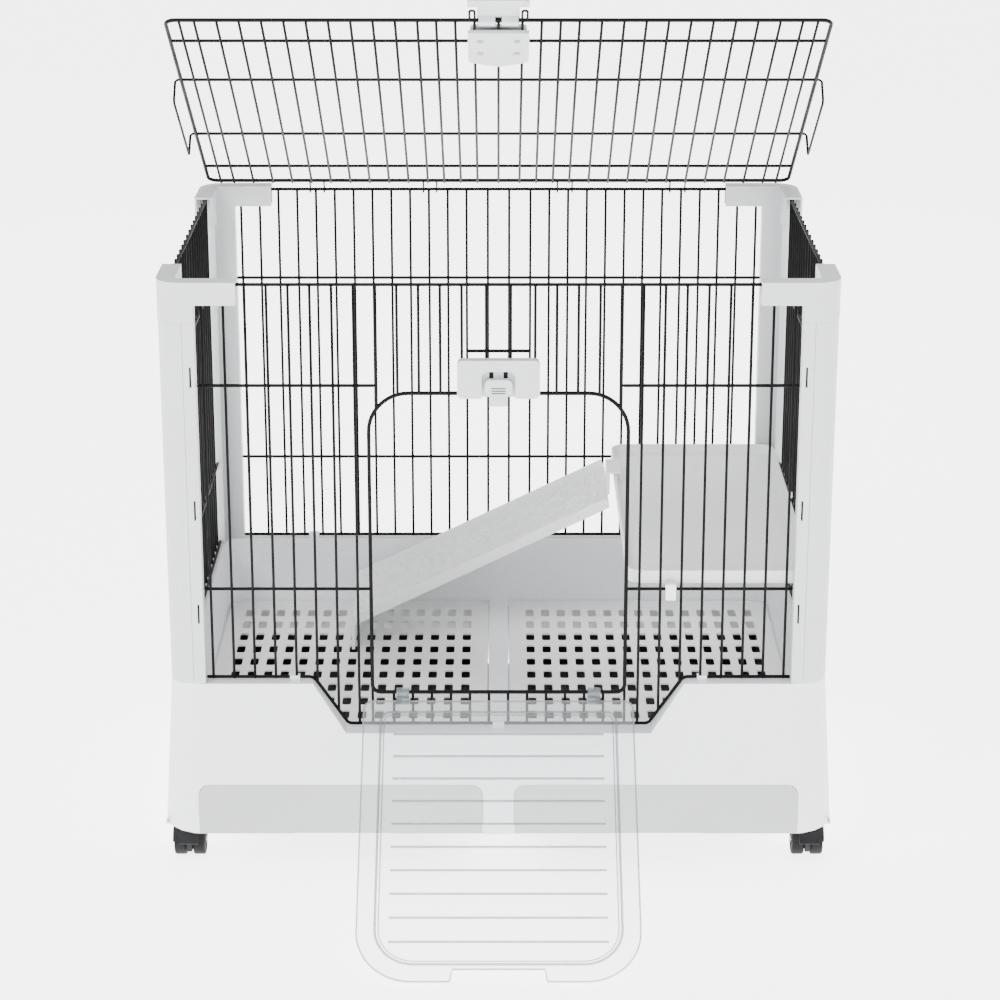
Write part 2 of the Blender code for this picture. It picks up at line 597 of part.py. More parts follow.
def ramp(look):
    """A sloping channel with low sides, a foot on the floor grid and a hook over the shelf's rim."""
    (x1, z1), (x0, z0) = RAMP_TOP, RAMP_FOOT
    length = math.hypot(x1 - x0, z1 - z0)
    dx, dz = (x1 - x0) / length, (z1 - z0) / length
    section = [(-RAMP_HALF, 0), (RAMP_HALF, 0), (RAMP_HALF, 0.014), (RAMP_HALF - WALL, 0.014),
               (RAMP_HALF - WALL, 0.003), (-RAMP_HALF + WALL, 0.003), (-RAMP_HALF + WALL, 0.014), (-RAMP_HALF, 0.014)]
    place = lambda y, w, t: (x0 + dx * t - dz * w, RAMP_Y + y, z0 + dz * t + dx * w)
    near, far, ends = RAMP_Y - 0.030, RAMP_Y + 0.030, (RAMP_Y - 0.086, RAMP_Y + 0.086)
    low = FLOOR_Z + FLOOR_THICK + GAP
    joins = [
        box(x0 - 0.003, x0 + 0.0015, *ends, low, z0 + 0.003),
        box(x1 - 0.0045, x1 - 0.0005, near, far, z1 - 0.004, 0.3955),
        box(x1 - 0.0045, x1 + 0.0150, near, far, 0.3928, 0.3955),
        box(x1 + 0.0130, x1 + 0.0150, near, far, 0.3850, 0.3955),
    ]
    return add("ramp", prism(section, place, 0.0, length - 0.003), look, joins)


# ---------------------------------------------------------------- casters


def caster(tag, x, y, looks):
    """A hood on a swivelling stem, an axle and two wheels; the front ones carry a brake lever."""
    hood_look, tyre_look, metal = looks
    ay, az = y + 0.012, WHEEL_R
    arc = lambda radius, a0, a1, n: [
        (ay + radius * math.cos(math.radians(a0 + (a1 - a0) * k / n)),
         az + radius * math.sin(math.radians(a0 + (a1 - a0) * k / n))) for k in range(n + 1)]
    place = lambda v, w, u: (x + u, v, w)
    cover = arc(0.0250, 12, 168, 8) + arc(0.0217, 168, 12, 8)
    web = prism(arc(0.0225, -25, 205, 8), place, -0.0036, 0.0036)
    stem = [(0.0095, 0.0380), (0.0095, 0.0535), (0.0047, 0.0535), (0.0047, 0.0690)]
    bore = turned([(0.0032, -0.03), (0.0032, 0.03)], 8, (x, ay, az), "x")
    hood = add("caster_hood_" + tag, prism(cover, place, -0.0205, 0.0205), hood_look,
               [web, turned(stem, 10, (x, y, 0), "z")],
               [bore] + [turned([(0.0213, s * 0.0040), (0.0213, s * 0.0300)], 16, (x, ay, az), "x") for s in (-1, 1)])
    axle = add("caster_axle_" + tag, turned([(0.0028, -0.0203), (0.0028, 0.0203)], 8, (x, ay, az), "x"), metal)
    pieces = [(hood, (x, y, 0.050)), (axle, (x, ay, az))]
    for word, s in (("in", -1 if x > 0 else 1), ("out", 1 if x > 0 else -1)):
        rings = [(0.0034, 0.0042), (0.0185, 0.0042), (WHEEL_R, 0.0057), (WHEEL_R, 0.0180), (0.0185, 0.0195),
                 (0.0034, 0.0195)]
        points = [[(x + s * h, ay + a, az + b) for a, b in circle(r, 16)] for r, h in rings]
        pieces.append((add("caster_wheel_%s_%s" % (tag, word), loft(points, closed=True), tyre_look), (x, ay, az)))
    if y < 0:
        lever = [(ay - 0.0365, 0.0290), (ay - 0.0340, 0.0275), (ay - 0.0245, 0.0385), (ay - 0.0265, 0.0410)]
        made = add("brake_lever_" + tag, prism(lever, place, -0.0120, 0.0120), hood_look)
        pieces.append((made, (x, ay - 0.0255, 0.0395)))
    return pieces


# ---------------------------------------------------------------- the whole cage


def set_origin(item, point):
    """Puts an object's origin at a point of its joint's axis."""
    item.data.transform(Matrix.Translation(-Vector(point)))
    item.location = point


def build():
    clear_scene()
    white = material("tub_white", (0.86, 0.87, 0.89), 0.45)
    shell = material("post_white", (0.74, 0.75, 0.76), 0.50)
    grey = material("tray_grey", (0.68, 0.69, 0.69), 0.50)
    grid = material("floor_warm_grey", (0.76, 0.76, 0.75), 0.50)
    wire = material("wire_black", (0.012, 0.012, 0.013), 0.35)
    clear = material("door_clear", (0.90, 0.93, 0.95), 0.10, 0.35)
    dark = material("caster_charcoal", (0.030, 0.030, 0.032), 0.45)
    steel = material("screw_steel", (0.45, 0.45, 0.47), 0.30)

    base_tub(white)
    trays = [tray("tray_left", -1, grey), tray("tray_right", 1, grey)]
    floor_grid("floor_grid_left", -1, grid)
    floor_grid("floor_grid_right", 1, grid)
    for tag, sx, sy in (("fl", -1, -1), ("fr", 1, -1), ("rl", -1, 1), ("rr", 1, 1)):
        post(tag, sx, sy, shell, shell)
        cap(tag, sx, sy, shell)
    front_panel(wire)
    plain_panel("rear_panel", 0.3591, lambda u, v, w: (u, PANEL_Y - w, v), wire_columns(0.352), wire)
    sides = wire_columns(0.235)
    plain_panel("left_panel", 0.2381, lambda u, v, w: (-PANEL_X - w, u, v), sides, wire)
    plain_panel("right_panel", 0.2381, lambda u, v, w: (PANEL_X + w, u, v), sides, wire)

    lid_hinge = hinge_empty("lid_hinge_axis", 0, PANEL_Y, LID_HINGE_Z)
    lid_hinge.rotation_euler.x = -LID_OPEN
    flap_axis = (0, -LID_LENGTH, LID_LIFT)
    for item in [lid(wire)] + lid_latch(shell, steel):
        if item.name == "lid_latch_flap":
            set_origin(item, flap_axis)
        item.parent = lid_hinge

    door_hinge = hinge_empty("door_hinge_axis", 0, DOOR_HINGE_Y, DOOR_HINGE_Z)
    door_hinge.rotation_euler.x = DOOR_OPEN
    door(clear).parent = door_hinge

    set_origin(door_latch(shell, steel), (0, -0.2856, 0.6310))
    shelf(shell)
    set_origin(ramp(shell), (SHELF_IN, RAMP_Y, 0.3935))
    for item, x in zip(trays, (-0.1955, 0.1955)):
        set_origin(item, (x, -0.290, 0.088))
    for tag, sx, sy in (("fl", -1, -1), ("fr", 1, -1), ("rl", -1, 1), ("rr", 1, 1)):
        for item, point in caster(tag, sx * CASTER_X, sy * CASTER_Y, (dark, dark, steel)):
            set_origin(item, point)
    for item in bpy.data.objects:
        if item.parent is None:
            item.location.y += CAGE_Y


build()
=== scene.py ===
"""The wire rabbit cage's looks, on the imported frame."""
import math
import random

import bmesh
import bpy
from mathutils import Matrix, Vector


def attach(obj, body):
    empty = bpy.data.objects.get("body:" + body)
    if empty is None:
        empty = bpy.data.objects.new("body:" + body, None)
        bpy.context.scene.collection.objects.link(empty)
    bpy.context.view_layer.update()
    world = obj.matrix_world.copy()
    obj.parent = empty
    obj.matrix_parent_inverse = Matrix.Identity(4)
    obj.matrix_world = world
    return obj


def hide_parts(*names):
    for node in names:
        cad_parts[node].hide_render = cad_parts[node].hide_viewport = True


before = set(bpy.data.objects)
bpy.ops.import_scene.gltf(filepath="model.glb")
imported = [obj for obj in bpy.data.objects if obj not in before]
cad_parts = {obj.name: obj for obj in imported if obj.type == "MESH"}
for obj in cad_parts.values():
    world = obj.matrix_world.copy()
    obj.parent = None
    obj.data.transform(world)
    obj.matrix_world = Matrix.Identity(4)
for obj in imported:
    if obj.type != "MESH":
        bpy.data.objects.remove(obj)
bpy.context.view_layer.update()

CAGE_Y = 0.14844
PANEL_Y, PANEL_X = 0.270, 0.391
TOP_Z, UPPER_Z, LOWER_Z, BOTTOM_Z = 0.752, 0.6285, 0.3710, 0.2560
THIN, CROSS, FRAME = 0.0017, 0.0021, 0.0024
WELD = 0.0026  # how far the thin wires stand off the cross wires
FRAME_HALF, FRAME_TOP, FRAME_LOW, FRAME_RADIUS = 0.1555, 0.619, 0.2355, 0.048
DIP_Z, DIP_HALF = 0.194, 0.1855  # the low run of the front panel, over the dip in the tub
DIP_SLOPE = 1.523
MIDDLE_WIRE, FIRST_WIRE, WIRE_PITCH = 0.0145, 0.0435, 0.0256
LID_LIFT, LID_LENGTH, LID_HALF = 0.0085, 0.530, 0.393
LID_ROWS = (0.064, 0.178, 0.354, 0.471)
DOOR_OFFSET, DOOR_LENGTH = 0.0085, 0.396

CAGE = Matrix.Translation((0, CAGE_Y, 0))
LID = Matrix.Translation((0, PANEL_Y + CAGE_Y, TOP_Z)) @ Matrix.Rotation(math.radians(-32.9), 4, "X")
DOOR = Matrix.Translation((0, -PANEL_Y + CAGE_Y, FRAME_LOW)) @ Matrix.Rotation(math.radians(124.0), 4, "X")


# ---------------------------------------------------------------- materials


def nodes_of(name):
    made = bpy.data.materials.new(name)
    made.use_nodes = True
    tree = made.node_tree
    return made, tree, tree.nodes["Principled BSDF"]


def noise(tree, scale, detail, coords, rough=0.5):
    node = tree.nodes.new("ShaderNodeTexNoise")
    node.inputs["Scale"].default_value = scale
    node.inputs["Detail"].default_value = detail
    node.inputs["Roughness"].default_value = rough
    tree.links.new(coords, node.inputs["Vector"])
    return node.outputs["Fac"]


def ramp(tree, fac, low, high, start=0.3, end=0.7):
    node = tree.nodes.new("ShaderNodeValToRGB")
    node.color_ramp.elements[0].position, node.color_ramp.elements[1].position = start, end
    node.color_ramp.elements[0].color = (*low, 1) if not isinstance(low, float) else (low, low, low, 1)
    node.color_ramp.elements[1].color = (*high, 1) if not isinstance(high, float) else (high, high, high, 1)
    tree.links.new(fac, node.inputs["Fac"])
    return node.outputs["Color"]


def moulded(name, colour, rough, grain=900.0, depth=0.08, vary=0.03, specular=0.45):
    """Moulded plastic: a fine spark-eroded grain and faint flow clouds."""
    made, tree, shader = nodes_of(name)
    coords = tree.nodes.new("ShaderNodeTexCoord").outputs["Object"]
    clouds = noise(tree, 7.0, 3.0, coords)
    low = tuple(max(0.0, c * (1 - vary)) for c in colour)
    high = tuple(min(1.0, c * (1 + vary * 0.6)) for c in colour)
    body = ramp(tree, clouds, low, high)
    specks = ramp(tree, noise(tree, 260.0, 2.0, coords), 0.965, 1.0, 0.35, 0.55)
    mix = tree.nodes.new("ShaderNodeMix")
    mix.data_type, mix.blend_type = "RGBA", "MULTIPLY"
    mix.inputs["Factor"].default_value = 1.0
    tree.links.new(body, mix.inputs["A"])
    tree.links.new(specks, mix.inputs["B"])
    tree.links.new(mix.outputs["Result"], shader.inputs["Base Color"])
    gloss = ramp(tree, noise(tree, 38.0, 4.0, coords), rough - 0.05, rough + 0.07)
    tree.links.new(gloss, shader.inputs["Roughness"])
    bump = tree.nodes.new("ShaderNodeBump")
    bump.inputs["Strength"].default_value = depth
    bump.inputs["Distance"].default_value = 0.0004
    tree.links.new(noise(tree, grain, 3.0, coords, 0.6), bump.inputs["Height"])
    tree.links.new(bump.outputs["Normal"], shader.inputs["Normal"])
    shader.inputs["Specular IOR Level"].default_value = specular
    return made


def glassy(name, colour, alpha_face, alpha_edge):
    """Clear moulded plastic: almost invisible face on, greyer where it is seen along its surface."""
    made, tree, shader = nodes_of(name)
    coords = tree.nodes.new("ShaderNodeTexCoord").outputs["Object"]
    tint = ramp(tree, noise(tree, 30.0, 3.0, coords), tuple(c * 0.96 for c in colour), colour)
    tree.links.new(tint, shader.inputs["Base Color"])
    tree.links.new(ramp(tree, noise(tree, 80.0, 3.0, coords), 0.05, 0.13), shader.inputs["Roughness"])
    facing = tree.nodes.new("ShaderNodeLayerWeight")
    facing.inputs["Blend"].default_value = 0.35
    alpha = ramp(tree, facing.outputs["Facing"], alpha_face, alpha_edge, 0.25, 0.95)
    tree.links.new(alpha, shader.inputs["Alpha"])
    bump = tree.nodes.new("ShaderNodeBump")
    bump.inputs["Strength"].default_value = 0.05
    bump.inputs["Distance"].default_value = 0.001
    tree.links.new(noise(tree, 45.0, 2.0, coords), bump.inputs["Height"])
    tree.links.new(bump.outputs["Normal"], shader.inputs["Normal"])
    shader.inputs["Coat Weight"].default_value = 0.3
    return made


def brushed(name, colour, rough):
    made, tree, shader = nodes_of(name)
    coords = tree.nodes.new("ShaderNodeTexCoord").outputs["Object"]
    stretch = tree.nodes.new("ShaderNodeMapping")
    stretch.inputs["Scale"].default_value = (1.0, 12.0, 12.0)
    tree.links.new(coords, stretch.inputs["Vector"])
    streak = noise(tree, 300.0, 3.0, stretch.outputs["Vector"])
    tree.links.new(ramp(tree, streak, tuple(c * 0.8 for c in colour), colour), shader.inputs["Base Color"])
    tree.links.new(ramp(tree, streak, rough, rough + 0.15), shader.inputs["Roughness"])
    shader.inputs["Metallic"].default_value = 1.0
    return made


WHITE = moulded("tub_plastic", (0.90, 0.915, 0.945), 0.40, vary=0.012)
SHELL = moulded("post_plastic", (0.62, 0.635, 0.648), 0.45)
TRAY = moulded("tray_plastic_and_painted_shade", (0.47, 0.48, 0.485), 0.48)
GRID = moulded("grid_plastic", (0.88, 0.877, 0.865), 0.50)
SHELF = moulded("shelf_plastic", (0.93, 0.94, 0.95), 0.40, vary=0.02)
BLACK = moulded("wire_coating", (0.003, 0.003, 0.0033), 0.50, grain=1500.0,
                depth=0.15, vary=0.3, specular=0.10)
DARK = moulded("caster_nylon", (0.012, 0.012, 0.013), 0.50, vary=0.2, specular=0.2)
TYRE = moulded("caster_tread", (0.009, 0.009, 0.0095), 0.62, grain=700.0, depth=0.2, vary=0.25, specular=0.15)
# painted shade: a near-black laid into slots, windows and grip lines where shade falls
PAINTED_SHADE = moulded("shadowed_recess", (0.010, 0.010, 0.011), 0.7, vary=0.2, specular=0.1)
CLEAR = glassy("door_sheet", (0.84, 0.87, 0.89), 0.12, 0.60)
# painted shade: the door's clear rims, ribs and hinge clips are tinted dark grey for the grey lines that light makes
# at clear plastic's edges
CLEAR_EDGE = glassy("door_moulding_edge_shade", (0.22, 0.25, 0.27), 0.50, 0.95)
STEEL = brushed("screw_metal", (0.55, 0.55, 0.56), 0.28)


def paint_shade_behind(made, shade_colour, edge_y):
    """Gives a material a second colour, painted shade, on everything further back than edge_y."""
    tree = made.node_tree
    shader = tree.nodes["Principled BSDF"]
    first = shader.inputs["Base Color"].links[0].from_socket
    split = tree.nodes.new("ShaderNodeSeparateXYZ")
    tree.links.new(tree.nodes.new("ShaderNodeTexCoord").outputs["Object"], split.inputs["Vector"])
    step = tree.nodes.new("ShaderNodeMath")
    step.operation = "GREATER_THAN"
    step.inputs[1].default_value = edge_y
    tree.links.new(split.outputs["Y"], step.inputs[0])
    mix = tree.nodes.new("ShaderNodeMix")
    mix.data_type = "RGBA"
    mix.inputs["B"].default_value = (*shade_colour, 1)
    tree.links.new(step.outputs["Value"], mix.inputs["Factor"])
    tree.links.new(first, mix.inputs["A"])
    tree.links.new(mix.outputs["Result"], shader.inputs["Base Color"])


# painted shade: the trays go near black behind their grey fronts, standing for the shade under the floor grids
paint_shade_behind(TRAY, (0.030, 0.031, 0.032), -0.1395)


# ---------------------------------------------------------------- mesh tools


class Shape:
    """Points and faces of one piece, gathered before they become an object."""

    def __init__(self):
        self.points, self.faces = [], []

    def rings(self, rings, closed=False):
        """A skin over a row of outlines, with end caps unless it closes on itself."""
        base, count = len(self.points), len(rings[0])
        self.points += [tuple(p) for ring in rings for p in ring]
        for k in range(len(rings) if closed else len(rings) - 1):
            a, b = base + k * count, base + (k + 1) % len(rings) * count
            self.faces += [(a + i, a + (i + 1) % count, b + (i + 1) % count, b + i) for i in range(count)]
        if not closed:
            last = base + (len(rings) - 1) * count
            self.faces.append(tuple(base + count - 1 - i for i in range(count)))
            self.faces.append(tuple(last + i for i in range(count)))
        return self

    def tube(self, path, radius, sides=8, closed=False):
        """A round wire along a path, with softly rounded ends."""
        path = [Vector(p) for p in path]
        count = len(path)
        start = (path[1] - path[0]).normalized()
        normal = start.orthogonal().normalized()
        rings = []
        for i, point in enumerate(path):
            before = path[i - 1] if closed or i else point
            after = path[(i + 1) % count] if closed or i < count - 1 else point
            along = (after - before).normalized()
            normal = (normal - along * normal.dot(along)).normalized()
            side = along.cross(normal)
            angles = [2 * math.pi * k / sides for k in range(sides)]
            ring = lambda r, at: [at + normal * r * math.cos(a) + side * r * math.sin(a) for a in angles]
            if not closed and i == 0:
                rings += [ring(radius * 0.55, point), ring(radius, point + along * radius * 0.5)]
            elif not closed and i == count - 1:
                rings += [ring(radius, point - along * radius * 0.5), ring(radius * 0.55, point)]
            else:
                rings.append(ring(radius, point))
        return self.rings(rings, closed)

    def prism(self, outline, place, low, high, bevel):
        """An outline pushed from low to high, its rims stepped in by the bevel."""
        mid = inset(outline, bevel)
        soft = inset(outline, bevel * 0.3)
        steps = [(mid, low), (soft, low + bevel * 0.3), (outline, low + bevel),
                 (outline, high - bevel), (soft, high - bevel * 0.3), (mid, high)]
        return self.rings([[place(u, v, w) for u, v in ring] for ring, w in steps])

    def box(self, x0, x1, y0, y1, z0, z1, bevel=0.0004):
        outline = [(x0, y0), (x1, y0), (x1, y1), (x0, y1)]
        return self.prism(outline, lambda u, v, w: (u, v, w), z0, z1, bevel)


def inset(outline, by):
    """The outline moved inwards; it runs anticlockwise."""
    made = []
    for i, (x, y) in enumerate(outline):
        ax, ay = outline[i - 1]
        bx, by_next = outline[(i + 1) % len(outline)]
        n1, n2 = Vector((ay - y, x - ax)), Vector((y - by_next, bx - x))
        n1, n2 = n1.normalized(), n2.normalized()
        both = n1 + n2
        both = both / max(0.3, both.length_squared / 2) if both.length else n1
        made.append((x + both.x * by, y + both.y * by))
    return made


def arc(cx, cy, radius, start, end, steps):
    """Points along an arc, its angles in degrees."""
    angles = [math.radians(start + (end - start) * k / steps) for k in range(steps + 1)]
    return [(cx + radius * math.cos(a), cy + radius * math.sin(a)) for a in angles]


def rounded(x0, x1, y0, y1, r, steps=6):
    """A rectangle with rounded corners, anticlockwise."""
    return (arc(x1 - r, y0 + r, r, 270, 360, steps) + arc(x1 - r, y1 - r, r, 0, 90, steps)
            + arc(x0 + r, y1 - r, r, 90, 180, steps) + arc(x0 + r, y0 + r, r, 180, 270, steps))


def piece(name, shape, look, body, place=CAGE, replaces=(), angle=40):
    """One visible object: it rides on a body, and may stand for CAD nodes."""
    mesh = bpy.data.meshes.new(name)
    mesh.from_pydata(shape.points, [], shape.faces)
    mesh.transform(place)
    work = bmesh.new()
    work.from_mesh(mesh)
    bmesh.ops.recalc_face_normals(work, faces=work.faces)
    for edge in work.edges:
        edge.smooth = len(edge.link_faces) == 2 and edge.calc_face_angle(0) < math.radians(angle)
    for face in work.faces:
        face.smooth = True
    work.to_mesh(mesh)
    work.free()
    item = bpy.data.objects.new(name, mesh)
    bpy.context.scene.collection.objects.link(item)
    mesh.materials.append(look)
    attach(item, body)
    if replaces:
        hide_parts(*replaces)
    return item


def finish_node(name, look, bevel, segments, angle=30):
    """A CAD node keeps its shape, with softened edges and a full material."""
    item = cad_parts[name]
    item.data.materials.clear()
    item.data.materials.append(look)
    soft = item.modifiers.new("Soft edges", "BEVEL")
    soft.width, soft.segments, soft.limit_method = bevel, segments, "ANGLE"
    soft.angle_limit = math.radians(angle)
    soft.harden_normals = False
    soft.use_clamp_overlap = True


# ---------------------------------------------------------------- wire panels


def columns(limit):
    """Where a panel's upright wires stand, out to the limit on both sides of its middle."""
    found = [MIDDLE_WIRE]
    while FIRST_WIRE + WIRE_PITCH * (len(found) - 1) <= limit:
        found.append(FIRST_WIRE + WIRE_PITCH * (len(found) - 1))
    return [-x for x in reversed(found)] + found


def straight(shape, place, runs, radius, w=0.0, upright=True):
    """Round bars along v (or along u), each from start to end."""
    for centre, start, end in runs:
        a, b = ((centre, start), (centre, end)) if upright else ((start, centre), (end, centre))
        shape.tube([place(*a, w), place(*b, w)], radius)


def weld_beads(shape, place, crossings, w):
    """A small flattened bead of coating where two wires are welded."""
    for u, v in crossings:
        ring = lambda r, h: [place(u + r * math.cos(k * math.pi / 3), v + r * math.sin(k * math.pi / 3), h)
                             for k in range(6)]
        shape.rings([ring(0.0012, w - 0.0007), ring(0.0020, w), ring(0.0013, w + 0.0006)])


def plain_panel(name, half, place, limit, body="cage"):
    shape = Shape()
    levels = (TOP_Z, UPPER_Z, LOWER_Z, BOTTOM_Z)
    straight(shape, place, [(z, -half, half) for z in levels], CROSS, upright=False)
    xs = columns(limit)
    straight(shape, place, [(x, BOTTOM_Z - 0.0014, TOP_Z + 0.0016) for x in xs], THIN, WELD)
    weld_beads(shape, place, [(x, z) for x in xs for z in levels], WELD - 0.0011)
    piece(name + "_wires", shape, BLACK, body, replaces=[name], angle=70)


plain_panel("rear_panel", 0.3590, lambda u, v, w: (u, PANEL_Y - w, v), 0.352)
plain_panel("left_panel", 0.2380, lambda u, v, w: (-PANEL_X - w, u, v), 0.235)
plain_panel("right_panel", 0.2380, lambda u, v, w: (PANEL_X + w, u, v), 0.235)


def arch_top(x):
    inner = FRAME_HALF - FRAME_RADIUS
    if abs(x) <= inner:
        return FRAME_TOP
    return FRAME_TOP - FRAME_RADIUS + math.sqrt(FRAME_RADIUS ** 2 - (abs(x) - inner) ** 2)


def front_panel():
    place = lambda u, v, w: (u, -PANEL_Y - w, v)
    shape, half, dip, low_half = Shape(), 0.3590, DIP_Z, DIP_HALF
    runs = [(TOP_Z, -half, half)]
    for z, reach in ((UPPER_Z, 0.1480), (LOWER_Z, FRAME_HALF)):
        runs += [(z, -half, -reach), (z, reach, half)]
    straight(shape, place, runs, CROSS, upright=False)
    for x in columns(0.352):
        low = BOTTOM_Z - 0.0014
        if abs(x) < FRAME_HALF:
            low = arch_top(x) - 0.0005
        elif abs(x) < 0.228:
            low = dip - 0.001 + max(0.0, (abs(x) - low_half) * DIP_SLOPE)
        radius = CROSS if 0.140 < abs(x) < 0.150 else THIN
        shape.tube([place(x, low, WELD if radius == THIN else 0.0), place(x, TOP_Z + 0.0016,
                   WELD if radius == THIN else 0.0)], radius)
        marks = [z for z in (TOP_Z, UPPER_Z, LOWER_Z, BOTTOM_Z) if z > low and (z > 0.7 or abs(x) > 0.149)]
        weld_beads(shape, place, [(x, z) for z in marks], WELD - 0.0011)
    outline = arc(FRAME_HALF - FRAME_RADIUS, FRAME_TOP - FRAME_RADIUS, FRAME_RADIUS, 0, 90, 12)
    outline += arc(-FRAME_HALF + FRAME_RADIUS, FRAME_TOP - FRAME_RADIUS, FRAME_RADIUS, 90, 180, 12)
    outline += arc(-FRAME_HALF + 0.010, FRAME_LOW + 0.010, 0.010, 180, 270, 5)
    outline += arc(FRAME_HALF - 0.010, FRAME_LOW + 0.010, 0.010, 270, 360, 5)
    shape.tube([place(x, z, 0.0) for x, z in outline], FRAME, 10, closed=True)
    bend = 0.2262
    path = [(-half, BOTTOM_Z), (-bend - 0.006, BOTTOM_Z), (-bend - 0.002, BOTTOM_Z - 0.0012),
            (-bend + 0.0015, BOTTOM_Z - 0.0042), (-low_half - 0.0015, dip + 0.0022), (-low_half + 0.002, dip + 0.0003),
            (-low_half + 0.005, dip)]
    path += [(-x, z) for x, z in reversed(path)]
    shape.tube([place(x, z, 0.0) for x, z in path], CROSS)
    for side in (-1, 1):
        for k in range(6):
            x = side * (0.01175 + 0.0235 * k)
            shape.tube([place(x, dip - 0.0008, -WELD), place(x, FRAME_LOW + 0.0010, -WELD)], THIN)
        edge = side * FRAME_HALF
        shape.tube([place(edge, dip - 0.0008, -WELD), place(edge, FRAME_LOW + 0.014, -WELD)], THIN)
    shape.tube([place(-0.0385, 0.6712, 0.0), place(0.0385, 0.6712, 0.0)], CROSS)
    piece("front_panel_wires", shape, BLACK, "cage", replaces=["front_panel"], angle=70)


front_panel()


def on_lid(u, s, w):
    return (u, -s, LID_LIFT + w)


def lid():
    shape = Shape()
    half = LID_HALF
    straight(shape, on_lid, [(s, -half, half) for s in LID_ROWS], CROSS, upright=False)
    spread = [0.0, 0.0284, 0.0510, 0.0735] + [0.0957 + 0.02627 * k for k in range(11)] + [0.3762]
    xs = sorted({side * x for x in spread for side in (-1, 1)})
    straight(shape, on_lid, [(x, 0.0100, LID_LENGTH - 0.0008) for x in xs], THIN, -WELD)
    weld_beads(shape, on_lid, [(x, s) for x in xs for s in LID_ROWS], -WELD + 0.0011)
    loop = rounded(-half, half, 0.0105, LID_LENGTH, 0.012, 5)
    shape.tube([on_lid(u, s, 0) for u, s in loop], FRAME, 10, closed=True)
    for side in (-1, 1):
        outline = [(LID_ROWS[2], 0.0)] + arc(LID_ROWS[2] - 0.005, -0.0250, 0.005, 0, -90, 4)
        outline += arc(LID_ROWS[1] + 0.005, -0.0250, 0.005, -90, -180, 4) + [(LID_ROWS[1], 0.0)]
        path = [(side * 0.392, LID_ROWS[2], 0.0), (side * 0.3975, LID_ROWS[2], -0.0003),
                (side * 0.4003, LID_ROWS[2], -0.0030)]
        path += [(side * 0.4010, s, w) for s, w in outline[1:-1]]
        path += [(side * 0.4003, LID_ROWS[1], -0.0030), (side * 0.3975, LID_ROWS[1], -0.0003),
                 (side * 0.392, LID_ROWS[1], 0.0)]
        shape.tube([on_lid(*p) for p in path], 0.00165)
        lug = [(side * 0.0280, 0.5290), (side * 0.0280, 0.5545), (side * 0.0290, 0.5560), (side * 0.0330, 0.5560),
               (side * 0.0342, 0.5545), (side * 0.0342, 0.5290)]
        shape.tube([on_lid(u, s, 0) for u, s in lug], 0.0014)
        bridge = [(side * 0.0280, 0.5290), (side * 0.0280, 0.5115)]
        shape.tube([on_lid(u, s, 0) for u, s in bridge], 0.0014)
    for x in (-0.256, -0.237, -0.102, -0.084, 0.080, 0.100, 0.233, 0.2535):
        path = [(x, -0.0105, LID_LIFT)] + [(x, y, z) for y, z in arc(0, 0, 0.0040, 130, -175, 14)]
        shape.tube(path, 0.00115)
    piece("lid_wires", shape, BLACK, "lid", LID, replaces=["lid_panel"], angle=70)


lid()


# ---------------------------------------------------------------- floor grids


